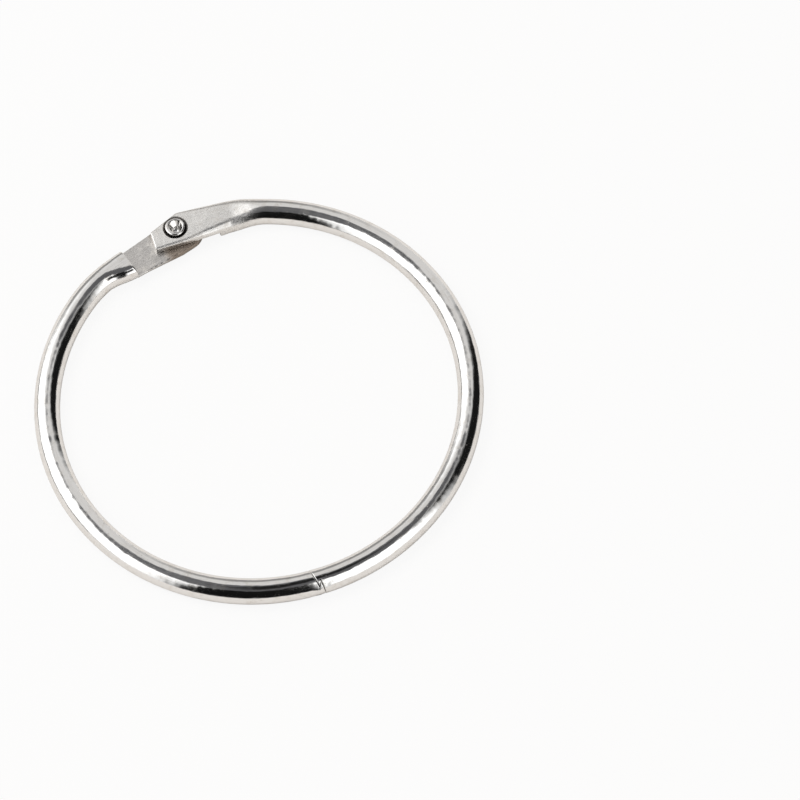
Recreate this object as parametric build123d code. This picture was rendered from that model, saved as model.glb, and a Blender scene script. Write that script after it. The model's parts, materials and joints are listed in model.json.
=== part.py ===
from build123d import *
import os
from math import asin, atan2, cos, degrees, radians, sin, sqrt, tan

# A hinged binder ring, closed and lying flat. Two half rings of round steel wire are lapped and
# riveted at the hinge, and hook into each other at the latch. Millimetres and degrees, +Z up.
# The origin is the ring's centre on the surface that it lies on. The rivet stands on +Y.

# Ring and wire
INNER_DIAMETER = 50.8        # clear opening of the closed ring
WIRE_DIAMETER = 3.3
HINGE_BEND_RADIUS = 15.0     # tighter bend where the wire runs into each hinge tab

# Hinge tabs, measured along each tab from the rivet's axis
PIVOT_INSET = 0.25           # rivet axis inside the wire's mean circle
UPPER_LEAN = 6.5             # lean of the upper tab, from square to the rivet's radius
LOWER_LEAN = 11.5
TAB_THICKNESS = 1.1
TAB_ROOT = 12.0              # where the round wire starts to flatten
TAB_NECK = 7.2               # where it has come down to the tab's thickness
TAB_EYE = 1.0                # where it has spread to the tab's full width
UPPER_SHOULDER = 5.4         # step at which the wire is whole again on the lapped side
LOWER_SHOULDER = 7.6
TAB_NOSE = 3.3               # end of the tab
NECK_WIDTH = 4.1
UPPER_EYE_WIDTH = 4.4        # width of each tab at the rivet
LOWER_EYE_WIDTH = 4.8
UPPER_NECK_SHIFT = 0.05      # how far each tab is spread towards the ring's centre
UPPER_EYE_SHIFT = 0.1
LOWER_NECK_SHIFT = 0.45
LOWER_EYE_SHIFT = 0.6
UPPER_NOSE_REACH = 0.4       # what the trimmed nose keeps outside the tab's centre line
UPPER_TRIM_START = 0.6       # where the trim starts, on the tab's outer edge
NECK_EDGE_RADIUS = 1.2       # rounded long edges of the tabs
EYE_EDGE_RADIUS = 0.3

# Rivet
SHANK_DIAMETER = 1.7
HEAD_DIAMETER = 3.2
HEAD_HEIGHT = 0.45
FLARE_DIAMETER = 2.6         # rolled-over hollow end
FLARE_WALL = 0.4             # wall of the hollow end
FLARE_RISE = 0.3             # height of the rolled rim above the upper tab
HOLLOW_DEPTH = 1.5
COUNTERSINK_DIAMETER = 3.3
COUNTERSINK_LAND = 0.35      # plain wall of the hole left under the countersink

# Latch: the seam leans across the wire, doubles back once as a hook, and runs out
LATCH_ARC = 188.5            # from the rivet to the latch, round the upper half's side
LATCH_LEAN = 16.0            # lean of the seam from square to the wire
HOOK_CREST = 1.2             # the tooth's tip, outside the wire's centre line
HOOK_DEPTH = 0.5             # how far the seam doubles back
HOOK_LENGTH = 0.35           # the same, along the wire
LATCH_GAP = 0.08             # between the faces of the two ends

# Clearances
LAP_CLEARANCE = 0.05         # between the two tabs
RUNNING_CLEARANCE = 0.05     # between the rivet and the upper half, all round
GRIP_CLEARANCE = 0.01        # between the rivet's shank and the lower half

wire_radius = WIRE_DIAMETER / 2
ring_radius = (INNER_DIAMETER + WIRE_DIAMETER) / 2
pivot_radius = ring_radius - PIVOT_INSET
lap_height = LAP_CLEARANCE / 2
tab_top = lap_height + TAB_THICKNESS
margin = WIRE_DIAMETER       # how far cutting tools run past the metal
upper_hole_radius = SHANK_DIAMETER / 2 + RUNNING_CLEARANCE
lower_hole_radius = SHANK_DIAMETER / 2 + GRIP_CLEARANCE


def tab_plane(lean):
    """Plane at the rivet: x along the tab to its wire, y away from the centre, z up."""
    along = (cos(radians(lean)), -sin(radians(lean)), 0)
    return Plane(origin=(0, pivot_radius, 0), x_dir=along, z_dir=(0, 0, 1))


def wire_path(lean, arc):
    """Straight along the tab, round the tight bend, then along the ring past the latch."""
    plane = tab_plane(lean)
    off_centre = pivot_radius * cos(radians(lean)) - HINGE_BEND_RADIUS
    bend_offset = sqrt((ring_radius - HINGE_BEND_RADIUS) ** 2 - off_centre ** 2)
    bend_start = pivot_radius * sin(radians(lean)) + bend_offset
    bend_turn = degrees(atan2(bend_offset, off_centre))
    start = plane.from_local_coords((0, 0, 0))
    end = plane.from_local_coords((bend_start, 0, 0))
    centre = plane.from_local_coords((bend_start, -HINGE_BEND_RADIUS, 0))
    overrun = degrees(asin(margin / ring_radius))
    ring_turn = arc + overrun - lean - bend_turn
    bend = CenterArc(centre, HINGE_BEND_RADIUS, 90 - lean, -bend_turn)
    ring = CenterArc((0, 0), ring_radius, 90 - lean - bend_turn, -ring_turn)
    return Wire([Line(start, end), bend, ring])


def station(path, distance):
    """Plane square to the wire's path, its x away from the ring's centre. The straight of the
    tab runs on for distances below zero, past the rivet."""
    on_path = max(distance, 0)
    along = path.tangent_at(on_path, position_mode=PositionMode.LENGTH)
    point = path.position_at(on_path, position_mode=PositionMode.LENGTH)
    point = point + along * (distance - on_path)
    return Plane(origin=point, x_dir=Vector(0, 0, 1).cross(along), z_dir=along)


def coined_end(path, eye_width, neck_shift, eye_shift):
    """The wire's end before it is lapped: round at the root, spread and flattened at the eye.
    At the neck only the tab's side is flattened: the lapped side keeps the wire's height."""
    height = 2 * tab_top
    neck_height = tab_top + wire_radius
    neck_centre = (tab_top - wire_radius) / 2
    end = -TAB_NOSE - margin
    round_section = RectangleRounded(WIRE_DIAMETER, WIRE_DIAMETER, 0.98 * wire_radius)
    neck = Pos(-neck_shift, neck_centre) * RectangleRounded(NECK_WIDTH, neck_height, NECK_EDGE_RADIUS)
    eye = Pos(-eye_shift, 0) * RectangleRounded(eye_width, height, EYE_EDGE_RADIUS)
    sections = [
        station(path, TAB_ROOT) * round_section,
        station(path, TAB_NECK) * neck,
        station(path, TAB_EYE) * eye,
        station(path, end) * eye,
    ]
    return loft(Sketch() + sections, ruled=True)


def square_nose():
    """Outline of the upper tab, which ends square with its outer corner trimmed away."""
    wide = 2 * UPPER_EYE_WIDTH
    edge = UPPER_EYE_WIDTH / 2 - UPPER_EYE_SHIFT
    slope = (edge - UPPER_NOSE_REACH) / (UPPER_TRIM_START + TAB_NOSE)
    trim_end = UPPER_TRIM_START + (wide - edge) / slope
    far = TAB_ROOT + trim_end
    points = [(far, wide), (trim_end, wide), (-TAB_NOSE, UPPER_NOSE_REACH), (-TAB_NOSE, -wide), (far, -wide)]
    return make_face(Polyline(*points, close=True))


def round_nose():
    """Outline of the lower tab, which ends in a half circle as wide as its eye."""
    radius = LOWER_EYE_WIDTH / 2
    cap = Pos(radius - TAB_NOSE, -LOWER_EYE_SHIFT) * Circle(radius)
    rest = Rectangle(2 * TAB_ROOT, 4 * radius, align=(Align.MIN, Align.CENTER))
    return cap + Pos(radius - TAB_NOSE, 0) * rest


def half_ring(lean, arc, end, nose, shoulder):
    """A half ring with its tab on top: wire, coined end, nose and lap, still without its hole.
    end holds the width of the eye, then how far the neck and the eye are spread inwards."""
    path = wire_path(lean, arc)
    plane = tab_plane(lean)
    wire = sweep(station(path, 0) * Circle(wire_radius), path=path)
    root = station(path, TAB_ROOT)
    cutter = Box(2 * TAB_ROOT, 2 * TAB_ROOT, 2 * TAB_ROOT, align=(Align.CENTER, Align.CENTER, Align.MAX))
    tab = coined_end(path, *end) & (plane * extrude(nose, 2 * wire_radius, both=True))
    lap = Box(
        shoulder + 2 * TAB_ROOT, 2 * TAB_ROOT, 2 * WIRE_DIAMETER,
        align=(Align.MAX, Align.CENTER, Align.MAX),
    )
    return (wire - root * cutter) + tab - plane * Pos(shoulder, 0, lap_height) * lap


def seam_side(keep):
    """Everything that the latch takes off one half: keep is 1 for the half with the tooth."""
    lean = tan(radians(LATCH_LEAN))
    reach = wire_radius + margin
    hook_root = HOOK_CREST - HOOK_DEPTH
    tip = HOOK_CREST * lean
    barb = tip + HOOK_LENGTH
    points = [
        (-reach * lean, -reach),
        (tip, HOOK_CREST),
        (barb, hook_root),
        (barb + (reach - hook_root) * lean, reach),
        (-keep * 3 * margin, reach),
        (-keep * 3 * margin, -reach),
    ]
    angle = radians(90 - LATCH_ARC)
    outward = Vector(cos(angle), sin(angle), 0)
    plane = Plane(
        origin=outward * ring_radius, x_dir=Vector(0, 0, 1).cross(outward), z_dir=(0, 0, -1)
    )
    seam = make_face(Polyline(*points, close=True))
    seam = plane * offset(seam, LATCH_GAP / 2, kind=Kind.INTERSECTION)
    return extrude(seam, 2 * margin, both=True)


def hinge_hole(radius):
    return Pos(0, pivot_radius, 0) * Cylinder(radius, 4 * wire_radius)


def latch_half():
    """The half whose tab lies on top, with the countersunk hole and the latch's tooth."""
    end = (UPPER_EYE_WIDTH, UPPER_NECK_SHIFT, UPPER_EYE_SHIFT)
    half = half_ring(UPPER_LEAN, LATCH_ARC, end, square_nose(), UPPER_SHOULDER)
    cone = Cone(
        upper_hole_radius, COUNTERSINK_DIAMETER / 2, TAB_THICKNESS - COUNTERSINK_LAND,
        align=(Align.CENTER, Align.CENTER, Align.MAX),
    )
    return half - seam_side(1) - hinge_hole(upper_hole_radius) - Pos(0, pivot_radius, tab_top) * cone


def hinge_half():
    """The half whose tab lies underneath: made like the other, then turned over about +Y."""
    end = (LOWER_EYE_WIDTH, LOWER_NECK_SHIFT, LOWER_EYE_SHIFT)
    half = half_ring(LOWER_LEAN, 360 - LATCH_ARC, end, round_nose(), LOWER_SHOULDER)
    return Rot(0, 180, 0) * half - seam_side(-1) - hinge_hole(lower_hole_radius)


def hinge_rivet():
    """Turned about its own axis: low head below, plain shank, hollow end rolled over the top."""
    shank = SHANK_DIAMETER / 2
    head = HEAD_DIAMETER / 2
    flare = FLARE_DIAMETER / 2
    bore = shank - FLARE_WALL
    rim = tab_top + FLARE_RISE
    roll = FLARE_WALL / 2
    land = lap_height + COUNTERSINK_LAND
    cone_rise = (TAB_THICKNESS - COUNTERSINK_LAND) / (COUNTERSINK_DIAMETER / 2 - upper_hole_radius)
    flare_under = land + (flare - shank) * cone_rise
    profile = [
        (0, -tab_top - HEAD_HEIGHT),
        (head - HEAD_HEIGHT / 2, -tab_top - HEAD_HEIGHT),
        (head, -tab_top - HEAD_HEIGHT / 3),
        (head, -tab_top),
        (shank, -tab_top),
        (shank, land),
        (flare, flare_under),
        (flare, rim - roll),
        (flare - roll, rim),
        (flare - 2 * roll, rim - roll),
        (bore, rim - 2 * FLARE_WALL),
        (bore, rim - HOLLOW_DEPTH),
        (0, rim - HOLLOW_DEPTH),
    ]
    return Pos(0, pivot_radius, 0) * revolve(Plane.XZ * make_face(Polyline(*profile, close=True)), Axis.Z)


def write(name, shape):
    export_step(Pos(0, 0, wire_radius) * shape, "parts/" + name + ".step")


os.makedirs("parts", exist_ok=True)
write("latch_half", latch_half())
write("hinge_half", hinge_half())
write("hinge_rivet", hinge_rivet())
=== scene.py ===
import bpy
import bmesh
import json
import numpy as np
from math import asin, atan, atan2, cos, degrees, pi, radians, sin, sqrt, tan
from mathutils import Matrix, Vector


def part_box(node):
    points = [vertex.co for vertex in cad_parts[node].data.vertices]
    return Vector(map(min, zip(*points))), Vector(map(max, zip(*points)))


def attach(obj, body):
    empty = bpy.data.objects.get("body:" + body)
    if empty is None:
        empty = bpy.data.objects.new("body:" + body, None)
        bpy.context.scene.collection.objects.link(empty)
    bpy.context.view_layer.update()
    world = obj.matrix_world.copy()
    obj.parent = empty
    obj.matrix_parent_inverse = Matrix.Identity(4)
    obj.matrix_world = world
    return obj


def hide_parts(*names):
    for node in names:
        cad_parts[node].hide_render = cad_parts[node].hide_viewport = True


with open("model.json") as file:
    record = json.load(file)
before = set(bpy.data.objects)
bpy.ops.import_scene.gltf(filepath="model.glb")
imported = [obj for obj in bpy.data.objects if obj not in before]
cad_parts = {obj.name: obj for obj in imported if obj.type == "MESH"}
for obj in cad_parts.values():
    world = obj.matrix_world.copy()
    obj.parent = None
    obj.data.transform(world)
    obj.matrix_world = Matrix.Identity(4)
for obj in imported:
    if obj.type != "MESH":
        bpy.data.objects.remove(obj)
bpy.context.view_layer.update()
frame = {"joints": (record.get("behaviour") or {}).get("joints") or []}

# ---------------------------------------------------------------------------------------------
# Upper half ring. Round steel wire, bent to a half circle, coined flat where it laps over the
# other half, trimmed square at the nose, pierced and countersunk for the rivet, and nicked into
# a hook at the latch. It is barrel plated with nickel after forming.
# Distances in this section are millimetres, measured from the rivet's axis along the wire.
MM = 0.001
WIRE = 1.65
RING = 27.05
BEND = 15.0
LAP = 0.025
TAB = 1.125
ROOT, NECK, EYE, NOSE = 12.0, 7.2, 1.0, 3.3
SIDES = 96
joint = frame["joints"][0]
PIVOT_Y = joint["pos_m"][1] / MM


class Wire:
    """The wire's path seen from above: straight tab, tight bend, then the ring."""

    def __init__(self, lean, arc, side):
        self.lean = radians(lean)
        self.side = side
        off = PIVOT_Y * cos(self.lean) - BEND
        rise = sqrt((RING - BEND) ** 2 - off ** 2)
        self.bend_start = PIVOT_Y * sin(self.lean) + rise
        self.turn = atan2(rise, off)
        self.bend_end = self.bend_start + BEND * self.turn
        self.ring_end = self.bend_end + RING * (radians(arc) - self.lean - self.turn)

    def at(self, s):
        """Point, outward direction and heading at distance s, before turning over."""
        along = Vector((cos(self.lean), -sin(self.lean), 0))
        out = Vector((sin(self.lean), cos(self.lean), 0))
        start = Vector((0, PIVOT_Y, 0))
        if s <= self.bend_start:
            point = start + along * s
        elif s <= self.bend_end:
            a = (s - self.bend_start) / BEND
            centre = start + along * self.bend_start - out * BEND
            out = Matrix.Rotation(-a, 3, "Z") @ out
            point = centre + out * BEND
        else:
            a = self.lean + self.turn + (s - self.bend_end) / RING
            out = Vector((sin(a), cos(a), 0))
            point = out * RING
        return Vector((point.x * self.side, point.y, 0)), Vector((out.x * self.side, out.y, 0))


def rounded(u0, u1, z0, z1, top, bottom, turn):
    """Point of a rounded rectangle for a turn of 0 to 2 pi, 0 at its outer side, pi/2 on top."""
    if turn <= pi:
        f, r, end = turn / pi, top, z1
    else:
        f, r, end = (2 * pi - turn) / pi, bottom, z0
    flip = 1 if turn <= pi else -1
    join = z1 - top
    wall = 0 if turn <= pi else join - (z0 + r)
    arc = r * pi / 2
    flat = (u1 - u0) - 2 * r
    total = 2 * wall + 2 * arc + flat
    d = f * total
    mirrored = d > total / 2
    d = min(d, total - d)
    if d < wall:
        u, z = u1, join - d
    elif d < wall + arc:
        a = (d - wall) / r
        u = u1 - r + r * cos(a)
        z = end - flip * r + flip * r * sin(a)
    else:
        u, z = u1 - r - (d - wall - arc), end
    return ((u0 + u1) - u if mirrored else u), z


def mix(a, b, f):
    return a + (b - a) * f


class Tab:
    """Section of a coined end by distance: round wire at the root, flat tab at the rivet."""

    def __init__(self, neck_shift, eye_width, eye_shift, shoulder, trimmed):
        self.shoulder = shoulder
        self.neck = (4.1, neck_shift, 1.2)
        self.eye = (eye_width, eye_shift, 0.3)
        self.trimmed = trimmed

    def box(self, s):
        if s >= NECK:
            f = max(0, (ROOT - s) / (ROOT - NECK))
            f = f * f * (3 - 2 * f)
            width, shift, r = 2 * WIRE, 0, WIRE
            to_width, to_shift, to_r = self.neck
            half = mix(WIRE, TAB, f)
        else:
            f = min(1, (NECK - s) / (NECK - EYE))
            width, shift, r = self.neck
            to_width, to_shift, to_r = self.eye
            half = TAB
        width, shift, r = mix(width, to_width, f), mix(shift, to_shift, f), mix(r, to_r, f)
        u0, u1 = -shift - width / 2, -shift + width / 2
        step = self.shoulder
        z0 = -WIRE if s >= NECK else mix(-WIRE, -TAB, f)
        if s < step:
            z0, bottom, r = LAP, 0.05, min(r, half - LAP - 0.06)
        else:
            if s < step + 0.24:
                z0 += 0.24 - sqrt(0.24 ** 2 - (step + 0.24 - s) ** 2)
            r = min(r, (half - z0) / 2)
            bottom = r
        inset = 0
        if self.trimmed:
            edge = self.eye[0] / 2 - self.eye[1]
            if s < 0.6:
                u1 = mix(0.4, edge, (s + NOSE) / (0.6 + NOSE))
            depth = 0.16
            if s < depth - NOSE:
                inset = depth - sqrt(max(0, depth ** 2 - (depth - NOSE - s) ** 2))
        else:
            radius = self.eye[0] / 2
            from_centre = radius - NOSE - s
            if from_centre > 0:
                inset = radius - sqrt(max(0.0004, radius ** 2 - from_centre ** 2))
        u0, u1 = u0 + inset, u1 - inset
        if self.trimmed:
            z0, half = z0 + 0.8 * inset, half - 0.8 * inset
        r = min(r, (u1 - u0) / 2.02)
        bottom = min(bottom, (u1 - u0) / 2.02)
        return u0, u1, z0, half, r, bottom


def stations(path, tab):
    """Distances at which the wire gets a ring of points, closer where its shape changes."""
    step = tab.shoulder
    if tab.trimmed:
        nose = [-NOSE + 0.16 * (1 - cos(a)) for a in np.linspace(0, pi / 2, 6)]
        first = nose[-1]
    else:
        radius = 2.4
        nose = [radius - NOSE - radius * cos(a) for a in np.linspace(0.02, pi / 2, 28)]
        first = nose[-1]
    flat = list(np.arange(first + 0.15, step - 0.1, 0.15))
    wall = [step - 0.02, step + 0.005, step + 0.03, step + 0.07, step + 0.14]
    root = list(np.arange(step + 0.24, ROOT + 2, 0.2))
    rest = list(np.linspace(ROOT + 2.2, path.ring_end - 1.2, 190))
    return nose + flat + wall + root + rest + [path.ring_end + 1.4, path.ring_end + 3]


def sweep_tree():
    """Geometry Nodes that sweep a round wire along a curve."""
    tree = bpy.data.node_groups.new("sweep_wire", "GeometryNodeTree")
    face = tree.interface
    face.new_socket("Path", in_out="INPUT", socket_type="NodeSocketGeometry")
    face.new_socket("Wire radius", in_out="INPUT", socket_type="NodeSocketFloat")
    face.new_socket("Sides", in_out="INPUT", socket_type="NodeSocketInt")
    face.new_socket("Plating", in_out="INPUT", socket_type="NodeSocketMaterial")
    face.new_socket("Wire", in_out="OUTPUT", socket_type="NodeSocketGeometry")
    into = tree.nodes.new("NodeGroupInput")
    out = tree.nodes.new("NodeGroupOutput")
    circle = tree.nodes.new("GeometryNodeCurvePrimitiveCircle")
    sweep = tree.nodes.new("GeometryNodeCurveToMesh")
    real = tree.nodes.new("GeometryNodeRealizeInstances")
    paint = tree.nodes.new("GeometryNodeSetMaterial")
    sweep.inputs["Fill Caps"].default_value = True
    link = tree.links.new
    link(into.outputs["Wire radius"], circle.inputs["Radius"])
    link(into.outputs["Sides"], circle.inputs["Resolution"])
    link(into.outputs["Path"], sweep.inputs["Curve"])
    link(circle.outputs["Curve"], sweep.inputs["Profile Curve"])
    link(sweep.outputs["Mesh"], real.inputs["Geometry"])
    link(real.outputs["Geometry"], paint.inputs["Geometry"])
    link(into.outputs["Plating"], paint.inputs["Material"])
    link(paint.outputs["Geometry"], out.inputs["Wire"])
    return tree


def swept(name, path, at, material):
    """The round wire as a plain mesh: its points run ring by ring in the order of at."""
    curve = bpy.data.curves.new(name + "_path", "CURVE")
    curve.dimensions = "3D"
    curve.twist_mode = "Z_UP"
    spline = curve.splines.new("POLY")
    spline.points.add(len(at) - 1)
    for point, s in zip(spline.points, at):
        point.co = (*path.at(s)[0], 1)
    holder = bpy.data.objects.new(name + "_path", curve)
    bpy.context.scene.collection.objects.link(holder)
    modifier = holder.modifiers.new("sweep", "NODES")
    modifier.node_group = wire_tree
    values = {"Wire radius": WIRE, "Sides": SIDES, "Plating": material}
    for item in wire_tree.interface.items_tree:
        if item.in_out == "INPUT" and item.name in values:
            modifier[item.identifier] = values[item.name]
    bpy.context.view_layer.update()
    seen = holder.evaluated_get(bpy.context.evaluated_depsgraph_get())
    mesh = bpy.data.meshes.new_from_object(seen)
    holder.modifiers.clear()
    bpy.data.objects.remove(holder)
    return mesh


def prism(name, points, place):
    """Cutting block: the outline points, placed by place, standing 3 mm above and below."""
    count = len(points)
    corners = [place(*p) for p in points]
    verts = [(x, y, z) for z in (-3, 3) for x, y in corners]
    faces = [tuple(range(count)), tuple(range(2 * count - 1, count - 1, -1))]
    faces += [(i, i + count, (i + 1) % count + count, (i + 1) % count) for i in range(count)]
    return solid(name, verts, faces)


def solid(name, verts, faces):
    mesh = bpy.data.meshes.new(name)
    mesh.from_pydata([tuple(v) for v in verts], [], faces)
    form = bmesh.new()
    form.from_mesh(mesh)
    bmesh.ops.recalc_face_normals(form, faces=form.faces)
    form.to_mesh(mesh)
    form.free()
    piece = bpy.data.objects.new(name, mesh)
    bpy.context.scene.collection.objects.link(piece)
    return piece


def turned(name, profile, centre, sides=96, shape=None):
    """Mesh turned about a vertical axis. The profile's first and last points are on the axis."""
    verts, faces = [], []
    for radius, z in profile[1:-1]:
        for i in range(sides):
            a = 2 * pi * i / sides
            r, h = (radius, z) if shape is None else shape(radius, z, a)
            verts.append((centre.x + r * cos(a), centre.y + r * sin(a), h))
    rows = len(profile) - 2
    for row in range(rows - 1):
        for i in range(sides):
            j = (i + 1) % sides
            faces.append((row * sides + i, row * sides + j, (row + 1) * sides + j, (row + 1) * sides + i))
    for row, (_, z) in ((0, profile[0]), (rows - 1, profile[-1])):
        pole = len(verts)
        verts.append((centre.x, centre.y, z))
        faces += [(pole, row * sides + i, row * sides + (i + 1) % sides) for i in range(sides)]
    return solid(name, verts, faces)


def cut(piece, tools):
    for tool in tools:
        modifier = piece.modifiers.new("cut", "BOOLEAN")
        modifier.operation = "DIFFERENCE"
        modifier.solver = "EXACT"
        modifier.object = tool
    bpy.context.view_layer.update()
    seen = piece.evaluated_get(bpy.context.evaluated_depsgraph_get())
    mesh = bpy.data.meshes.new_from_object(seen)
    piece.modifiers.clear()
    piece.data = mesh
    for tool in tools:
        bpy.data.objects.remove(tool)


def soften(piece, path):
    """Rounds the rim of the cut at the latch, as tumbling before plating does."""
    form = bmesh.new()
    form.from_mesh(piece.data)
    latch = path.at(path.ring_end)[0]
    rim = []
    for edge in form.edges:
        a, b = (vertex.co for vertex in edge.verts)
        level = (b - a).to_2d().length > 0.2 * abs(b.z - a.z)
        if (a - latch).length < 3 and len(edge.link_faces) == 2 and level:
            if edge.calc_face_angle(0) > radians(32):
                rim.append(edge)
    bmesh.ops.bevel(form, geom=rim, offset=0.1, segments=3, profile=0.5, affect="EDGES")
    form.to_mesh(piece.data)
    form.free()


def round_normals(mesh, path):
    """Gives the wire beside the latch, whose faces are long, the normals of a true ring."""
    latch = path.at(path.ring_end)[0]
    normals = [Vector(corner.vector) for corner in mesh.corner_normals]
    for polygon in mesh.polygons:
        for index in polygon.loop_indices:
            p = mesh.vertices[mesh.loops[index].vertex_index].co / MM
            if (Vector((p.x, p.y, 0)) - latch).length < 4:
                out = Vector((p.x, p.y, 0)).normalized()
                true = (p - out * RING - Vector((0, 0, WIRE))).normalized()
                if polygon.normal.dot(true) > 0.985:
                    normals[index] = true
    mesh.normals_split_custom_set(normals)


def half_ring(name, path, tab, material, tools):
    """Sweeps the wire, coins its end, cuts it, and puts it in the frame, in metres."""
    at = stations(path, tab)
    mesh = swept(name, path, at, material)
    for index, vertex in enumerate(mesh.vertices):
        s = at[min(index // SIDES, len(at) - 1)]
        if s < ROOT:
            point, out = path.at(s)
            offset = vertex.co - point
            turn = atan2(offset.z, offset.dot(out)) % (2 * pi)
            if min(turn, 2 * pi - turn) < 1e-4:
                turn = 0
            u, z = rounded(*tab.box(s), turn)
            vertex.co = point + out * u + Vector((0, 0, z))
    mesh.update()
    form = bmesh.new()
    form.from_mesh(mesh)
    bmesh.ops.recalc_face_normals(form, faces=form.faces)
    form.to_mesh(mesh)
    form.free()
    piece = bpy.data.objects.new(name, mesh)
    bpy.context.scene.collection.objects.link(piece)
    cut(piece, tools)
    soften(piece, path)
    over = path.side
    for vertex in piece.data.vertices:
        x, y, z = vertex.co
        vertex.co = (x * MM, y * MM, (z * over + WIRE) * MM)
    if over < 0:
        piece.data.flip_normals()
    piece.data.materials.clear()
    piece.data.materials.append(material)
    for polygon in piece.data.polygons:
        polygon.material_index = 0
        polygon.use_smooth = True
    piece.data.set_sharp_from_angle(angle=radians(38))
    weigh = piece.modifiers.new("normals", "WEIGHTED_NORMAL")
    weigh.keep_sharp = True
    bpy.context.view_layer.update()
    seen = piece.evaluated_get(bpy.context.evaluated_depsgraph_get())
    mesh = bpy.data.meshes.new_from_object(seen)
    piece.modifiers.clear()
    piece.data = mesh
    round_normals(mesh, path)
    return piece


# Seam of the latch: t along the ring, r outwards from the wire's centre line.
LATCH = radians(90 - 188.5)
LEAN = tan(radians(16))
HALF_GAP = 0.04


def seam(keep):
    """Outline cut from one half, moved off the seam by half the gap."""
    tip, barb = 1.2 * LEAN, 1.2 * LEAN + 0.35
    line = [(-5 * LEAN, -5), (tip, 1.2), (barb, 0.7), (barb + 4.3 * LEAN, 5)]
    moved = []
    for i, (t, r) in enumerate(line):
        before = Vector(line[i]) - Vector(line[i - 1]) if i else None
        after = Vector(line[i + 1]) - Vector(line[i]) if i < 3 else None
        normals = [Vector((d.y, -d.x)).normalized() for d in (before, after) if d]
        if len(normals) == 2:
            both = normals[0] + normals[1]
            shift = both / both.dot(normals[0])
        else:
            shift = normals[0]
        moved.append((t + keep * shift.x * HALF_GAP, r + keep * shift.y * HALF_GAP))
    return moved + [(-keep * 8, 5), (-keep * 8, -5)]


def latch_place(t, r):
    out = Vector((cos(LATCH), sin(LATCH)))
    across = Vector((-out.y, out.x))
    p = out * (RING + r) + across * t
    return p.x, p.y


wire_tree = sweep_tree()


def place_on_wire(piece, path):
    """Keeps, for the plating's pattern, each point's distance along the wire and its offsets."""
    data = piece.data.attributes.new("wire_place", "FLOAT_VECTOR", "POINT").data
    along = Vector((cos(path.lean), -sin(path.lean), 0))
    out = Vector((sin(path.lean), cos(path.lean), 0))
    for vertex, item in zip(piece.data.vertices, data):
        p = Vector((vertex.co.x * path.side, vertex.co.y, 0)) / MM
        a = atan2(p.x, p.y) % (2 * pi)
        from_rivet = p - Vector((0, PIVOT_Y, 0))
        s = from_rivet.dot(along)
        u = from_rivet.dot(out)
        if path.bend_start < s and a < pi:
            centre = Vector((0, PIVOT_Y, 0)) + along * path.bend_start - out * BEND
            d = p - centre
            b = atan2(d.dot(along), d.dot(out))
            s, u = path.bend_start + BEND * b, d.length - BEND
        if path.lean + path.turn < a < 1.8 * pi:
            s = path.bend_end + RING * (a - path.lean - path.turn)
            u = p.length - RING
        item.vector = (s * MM, u * MM, vertex.co.z - WIRE * MM)


class Value:
    """A socket of a material. Arithmetic on it adds Math nodes to the material's tree."""

    def __init__(self, tree, socket):
        self.tree = tree
        self.socket = socket

    def math(self, operation, *args):
        node = self.tree.nodes.new("ShaderNodeMath")
        node.operation = operation
        for slot, arg in zip(node.inputs, args):
            give(self.tree, slot, arg)
        return Value(self.tree, node.outputs[0])

    def __add__(self, other):
        return self.math("ADD", self, other)

    def __mul__(self, other):
        return self.math("MULTIPLY", self, other)

    def __sub__(self, other):
        return self.math("SUBTRACT", self, other)

    def __rsub__(self, other):
        return self.math("SUBTRACT", other, self)

    def rise(self, low, high):
        """0 below low, 1 above high and a smooth step between. low may be the larger."""
        node = self.tree.nodes.new("ShaderNodeMapRange")
        node.interpolation_type = "SMOOTHSTEP"
        values = (self, low, high, 0.0, 1.0) if low < high else (self, high, low, 1.0, 0.0)
        for slot, arg in zip(node.inputs, values):
            give(self.tree, slot, arg)
        return Value(self.tree, node.outputs[0])

    __radd__ = __add__
    __rmul__ = __mul__


def give(tree, slot, value):
    if isinstance(value, Value):
        tree.links.new(value.socket, slot)
    else:
        slot.default_value = value


class Material:
    """A node material. add() takes a node's type, its settings, then its values and links."""

    def __init__(self, name):
        self.made = bpy.data.materials.new(name)
        self.made.use_nodes = True
        self.tree = self.made.node_tree
        self.tree.nodes.clear()

    def add(self, kind, settings=None, out=0, **inputs):
        node = self.tree.nodes.new("ShaderNode" + kind)
        for key, value in (settings or {}).items():
            setattr(node, key, value)
        for key, value in inputs.items():
            slot = int(key[1:]) if key[1:].isdigit() else key.replace("_", " ")
            give(self.tree, node.inputs[slot], value)
        return Value(self.tree, node.outputs[out])

    def mix(self, factor, a, b):
        node = self.tree.nodes.new("ShaderNodeMix")
        node.data_type = "RGBA"
        for slot, value in zip((node.inputs[0], node.inputs[6], node.inputs[7]), (factor, a, b)):
            give(self.tree, slot, value)
        return Value(self.tree, node.outputs[2])

    def surface(self, shader):
        end = self.tree.nodes.new("ShaderNodeOutputMaterial")
        give(self.tree, end.inputs["Surface"], shader)
        return self.made


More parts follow.
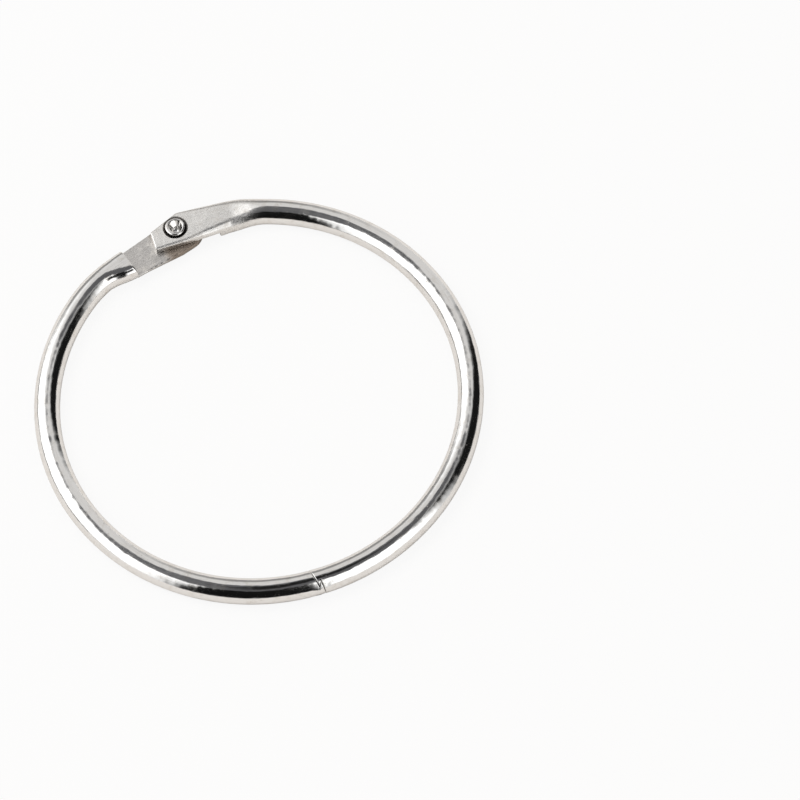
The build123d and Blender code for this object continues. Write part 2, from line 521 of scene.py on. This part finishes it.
def nickel(name, flat_from, flat_to, gloss, grain, satin=(0.90, 0.885, 0.86, 1), groove_shade=0.85, shade_under_tab=0.0):
    """Bright nickel over steel: glossy on round wire, satin with a fine grain where coined. The coined colour is
    given per half, darker on the lower half as painted shade; the last two arguments set painted shade in the
    countersink round the rivet and on the tab end under the other half.
    """
    m = Material(name)
    wire = m.add("Attribute", {"attribute_name": "wire_place"}, out=1)
    spot = m.add("TexCoord", out=3)
    s = m.add("SeparateXYZ", Vector=wire)
    coined = s.rise(flat_to, flat_from)
    drawn = m.add("Mapping", Vector=wire, Scale=(0.06, 1, 1))
    lines = m.add("TexNoise", Vector=drawn, Scale=5200.0, Detail=3.0, Roughness=0.6)
    waves = m.add("TexNoise", Vector=spot, Scale=330.0, Detail=2.0)
    cloud = m.add("TexNoise", Vector=spot, Scale=900.0, Detail=5.0, Roughness=0.65)
    fine = m.add("TexNoise", Vector=spot, Scale=4200.0, Detail=3.0, Roughness=0.6)
    pits = m.add("TexVoronoi", Vector=spot, Scale=1500.0)
    pitted = pits.rise(0.16, 0.06) * cloud.rise(0.5, 0.62)
    dull = cloud.rise(0.48, 0.72)
    base = m.mix(dull, (0.97, 0.96, 0.945, 1), (0.86, 0.83, 0.79, 1))
    base = m.mix(lines.rise(0.52, 0.78) * 0.4, base, (0.66, 0.64, 0.61, 1))
    base = m.mix(coined, base, m.mix(dull, satin, (0.74, 0.71, 0.67, 1)))
    level = m.add("VectorMath", {"operation": "MULTIPLY"}, _0=wire, _1=(1, 1, 0))
    from_rivet = m.add("VectorMath", {"operation": "LENGTH"}, out=1, _0=level)
    # Painted shade: the tab end within about 3 mm of the rivet is tinted brown, standing in for the shade under the
    # other half's tab.
    base = m.mix(s.rise(0.0038, 0.0022) * shade_under_tab, base, (0.34, 0.275, 0.22, 1))
    # Painted shade: the countersink within about 1.6 mm of the rivet's axis goes almost black, standing in for the
    # shade in the gap round the rolled rim.
    base = m.mix(from_rivet.rise(0.00166, 0.00155) * groove_shade, base, (0.10, 0.095, 0.09, 1))
    base = m.mix(pitted * 0.6, base, (0.34, 0.30, 0.26, 1))
    rough = gloss + dull * 0.07 + lines.rise(0.4, 0.75) * 0.06 + pitted * 0.2
    rough = rough + coined * (grain + fine.rise(0.3, 0.7) * 0.10)
    height = waves * 1.8 + lines * 0.16 + coined * (fine * 0.22 + cloud * 0.35) - pitted * 0.12
    bump = m.add("Bump", Strength=1.0, Distance=0.00005, Height=height)
    steel = m.add(
        "BsdfPrincipled", Base_Color=base, Metallic=1.0, Roughness=rough, Normal=bump,
    )
    return m.surface(steel)


plating = nickel("nickel_wire", 0.0085, 0.0125, 0.07, 0.16)
upper_path = Wire(6.5, 188.5, 1)
upper_tab = Tab(0.05, 4.4, 0.1, 5.4, True)
rivet_at = Vector((0, PIVOT_Y, 0))
bore = turned("upper_bore", [(0, -4), (0.9, -4), (0.9, 0.375), (1.65, TAB), (2.2, TAB + 0.55), (0, 2)], rivet_at)
nick = prism("upper_seam", seam(1), latch_place)
upper = half_ring("upper_half_ring", upper_path, upper_tab, plating, [bore, nick])
place_on_wire(upper, upper_path)
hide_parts("latch_half")
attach(upper, "latch_side")

# ---------------------------------------------------------------------------------------------
# Lower half ring. The same wire and tools, turned over so that its tab lies underneath. The
# tab is left with a round nose and is pierced with a plain hole that grips the rivet.
lower_path = Wire(11.5, 171.5, -1)
lower_tab = Tab(0.45, 4.8, 0.6, 7.6, False)
hole = turned("lower_hole", [(0, -4), (0.86, -4), (0.86, 4), (0, 4)], rivet_at)
nick = prism("lower_seam", seam(-1), latch_place)
# Painted shade: the lower half's coined flats get a darker colour, and its tab end near the rivet a brown tint, for
# the shade under the upper tab.
plating_painted_shade = nickel("nickel_wire_lower", 0.0074, 0.0078, 0.07, 0.16, (0.62, 0.60, 0.58, 1), shade_under_tab=0.9)
lower = half_ring("lower_half_ring", lower_path, lower_tab, plating_painted_shade, [hole, nick])
place_on_wire(lower, lower_path)
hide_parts("hinge_half")
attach(lower, "hinge_side")

# ---------------------------------------------------------------------------------------------
# Rivet. Turned with a low head, then its hollow end is rolled out over the upper tab by a punch
# that lands a little off centre, so the rim is wider on one side.
low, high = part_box("hinge_rivet")
foot, rim = low.z / MM, high.z / MM
profile = [
    (0, foot), (1.3, foot), (1.42, foot + 0.03), (1.53, foot + 0.11), (1.59, foot + 0.22),
    (1.6, foot + 0.3), (1.6, foot + 0.43), (1.56, foot + 0.45), (0.86, foot + 0.46),
    (0.85, foot + 0.5), (0.85, 1.98), (0.88, 2.06), (1.26, 2.47), (1.3, 2.55), (1.3, rim - 0.2),
]
profile += [(1.1 + 0.2 * cos(a), rim - 0.2 + 0.2 * sin(a)) for a in np.linspace(0.2, pi - 0.3, 14)]
profile += [(0.8, rim - 0.34), (0.66, rim - 0.55), (0.55, rim - 0.75), (0.47, rim - 0.85), (0.45, rim - 1.0)]
profile += [(0.45, rim - 1.38), (0.43, rim - 1.46), (0.36, rim - 1.5), (0, rim - 1.5)]


def struck(radius, z, a):
    """Rim rolled out unevenly; everything below the upper tab's countersink stays round."""
    if z < rim - 0.9 or radius > 1.31:
        return radius, z
    wide = radius * (1 + 0.03 * cos(a - 2.6) + 0.02 * sin(3 * a)) - 0.03
    if radius < 1.0:
        wide += 0.14 * cos(a + 0.3)
    return wide, z + 0.04 * cos(a - 2.9) - 0.03


rivet = turned("rolled_rivet", profile, rivet_at, 128, struck)
rivet.data.transform(Matrix.Scale(MM, 4))
rivet_metal = nickel("nickel_rivet", -0.002, -0.001, 0.12, 0.0, groove_shade=0.0)
rivet.data.materials.append(rivet_metal)
for polygon in rivet.data.polygons:
    polygon.use_smooth = True
rivet.data.set_sharp_from_angle(angle=radians(50))
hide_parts("hinge_rivet")
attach(rivet, "hinge_side")

# ---------------------------------------------------------------------------------------------
# Studio. A white sweep with a white tent all round, and black and grey cards just outside the
# picture for the bright metal to mirror. Angles are degrees round the ring, counted from +X.
SPAN = 1.5
floor_mesh = bpy.data.meshes.new("floor")
floor_mesh.from_pydata([(-SPAN, -SPAN, 0), (SPAN, -SPAN, 0), (SPAN, SPAN, 0), (-SPAN, SPAN, 0)], [], [(0, 1, 2, 3)])
floor = bpy.data.objects.new("floor", floor_mesh)
bpy.context.scene.collection.objects.link(floor)
m = Material("white_paper")
paper = m.add("BsdfDiffuse", Color=(0.74, 0.71, 0.68, 1))
glow = m.add("Emission", Color=(1, 1, 1, 1), Strength=1.0)
seen = m.add("LightPath", out=0)
floor_mesh.materials.append(m.surface(m.add("MixShader", Fac=seen * 0.9, _1=paper, _2=glow)))


def card(name, az, el, shade, soft=0.2, strength=1.0, reach=0.5, near=(0, 0)):
    """Part of a sphere round the ring, seen only in reflections, fading out at its edges."""
    count = 24
    verts, faces, corners = [], [], []
    for j in range(count + 1):
        for i in range(count + 1):
            a = radians(mix(az[0], az[1], i / count))
            e = radians(mix(el[0], el[1], j / count))
            verts.append((near[0] + reach * cos(e) * cos(a), near[1] + reach * cos(e) * sin(a), reach * sin(e)))
            corners.append((i / count, j / count))
    for j in range(count):
        for i in range(count):
            k = j * (count + 1) + i
            faces.append((k, k + 1, k + count + 2, k + count + 1))
    mesh = bpy.data.meshes.new(name)
    mesh.from_pydata(verts, [], faces)
    uv = mesh.uv_layers.new(name="card")
    for loop in mesh.loops:
        uv.data[loop.index].uv = corners[loop.vertex_index]
    m = Material(name)
    place = m.add("UVMap", {"uv_map": "card"})
    split = m.tree.nodes.new("ShaderNodeSeparateXYZ")
    m.tree.links.new(place.socket, split.inputs[0])
    x, y = Value(m.tree, split.outputs[0]), Value(m.tree, split.outputs[1])
    cover = y.rise(0, soft)
    if az[1] - az[0] < 360:
        cover = cover * x.rise(0, soft) * x.rise(1, 1 - soft) * y.rise(1, 1 - soft)
    clear = m.add("BsdfTransparent")
    face = m.add("Emission", Color=(*shade, 1), Strength=strength)
    mesh.materials.append(m.surface(m.add("MixShader", Fac=cover, _1=clear, _2=face)))
    piece = bpy.data.objects.new(name, mesh)
    bpy.context.scene.collection.objects.link(piece)
    piece.visible_camera = False
    piece.visible_diffuse = False
    piece.visible_shadow = False


card("white_left", (92, 212), (-2, 80), (1, 1, 1), strength=1.4, reach=0.53)
card("white_front", (262, 322), (-2, 76), (1, 1, 1), strength=1.4, reach=0.53)
card("grey_back", (22, 100), (-8, 72), (0.64, 0.63, 0.62), reach=0.52)
card("grey_behind", (44, 126), (-8, 32), (0.27, 0.265, 0.26), soft=0.3)
card("black_front", (207, 270), (-8, 98), (0.006, 0.006, 0.006), soft=0.13, reach=0.51)
card("black_right", (317, 394), (-12, 72), (0.008, 0.008, 0.008), soft=0.24)
card("grey_top", (0, 360), (60, 90), (0.10, 0.10, 0.105), soft=0.25, reach=0.5)
card("grey_left_low", (104, 192), (-3, 10), (0.22, 0.215, 0.21), soft=0.3, reach=0.5)
card("dark_near", (258, 314), (28, 64), (0.01, 0.01, 0.01), soft=0.3, reach=0.06, near=(-0.0154, 0.0197))

world = bpy.data.worlds.new("tent")
bpy.context.scene.world = world
world.use_nodes = True
tree = world.node_tree
tree.nodes.clear()
path = tree.nodes.new("ShaderNodeLightPath")
direct = Value(tree, path.outputs[0])
mirror = Value(tree, path.outputs[4])
through = Value(tree, path.outputs[6])
bright = direct.math("MAXIMUM", direct.math("MAXIMUM", direct, mirror), through)
back = tree.nodes.new("ShaderNodeBackground")
back.inputs["Color"].default_value = (1, 1, 1, 1)
give(tree, back.inputs["Strength"], 0.75 + bright * 0.25)
tent = tree.nodes.new("ShaderNodeOutputWorld")
tree.links.new(back.outputs[0], tent.inputs["Surface"])

lamp = bpy.data.lights.new("softbox", "AREA")
lamp.shape = "DISK"
lamp.size = 0.35
lamp.energy = 1.2
softbox = bpy.data.objects.new("softbox", lamp)
softbox.location = (-0.22, 0.18, 0.5)
softbox.rotation_euler = Vector((-0.22, 0.18, 0.5)).to_track_quat("Z", "Y").to_euler()
bpy.context.scene.collection.objects.link(softbox)

# Camera: high in front, rolled a little, aimed so that the ring stands left of the middle.
tip, roll, away = radians(63.0), radians(-9.5), 600.0
back_way = Vector((0, -cos(tip), sin(tip)))
right = Vector((1, 0, 0))
up = right.cross(-back_way)
right, up = right * cos(roll) + up * sin(roll), up * cos(roll) - right * sin(roll)
focal = 784.5 * away / 100
yaw, pitch = atan((400 - 258.6) / focal), atan((400 - 397.7) / focal)
ahead = -back_way * cos(yaw) + right * sin(yaw)
right = right * cos(yaw) + back_way * sin(yaw)
ahead, up = ahead * cos(pitch) - up * sin(pitch), up * cos(pitch) + ahead * sin(pitch)
turn = Matrix.Rotation(radians(-15.15), 3, "Z")
facing = Matrix((turn @ right, turn @ up, turn @ -ahead)).transposed()
eye = (turn @ back_way * away + Vector((0, 0, WIRE))) * MM
lens = bpy.data.cameras.new("camera")
lens.sensor_width = 36
lens.lens = focal / 800 * 36
camera = bpy.data.objects.new("camera", lens)
camera.matrix_world = Matrix.Translation(eye) @ facing.to_4x4()
bpy.context.scene.collection.objects.link(camera)
bpy.context.scene.camera = camera
bpy.context.scene.view_settings.view_transform = "Standard"
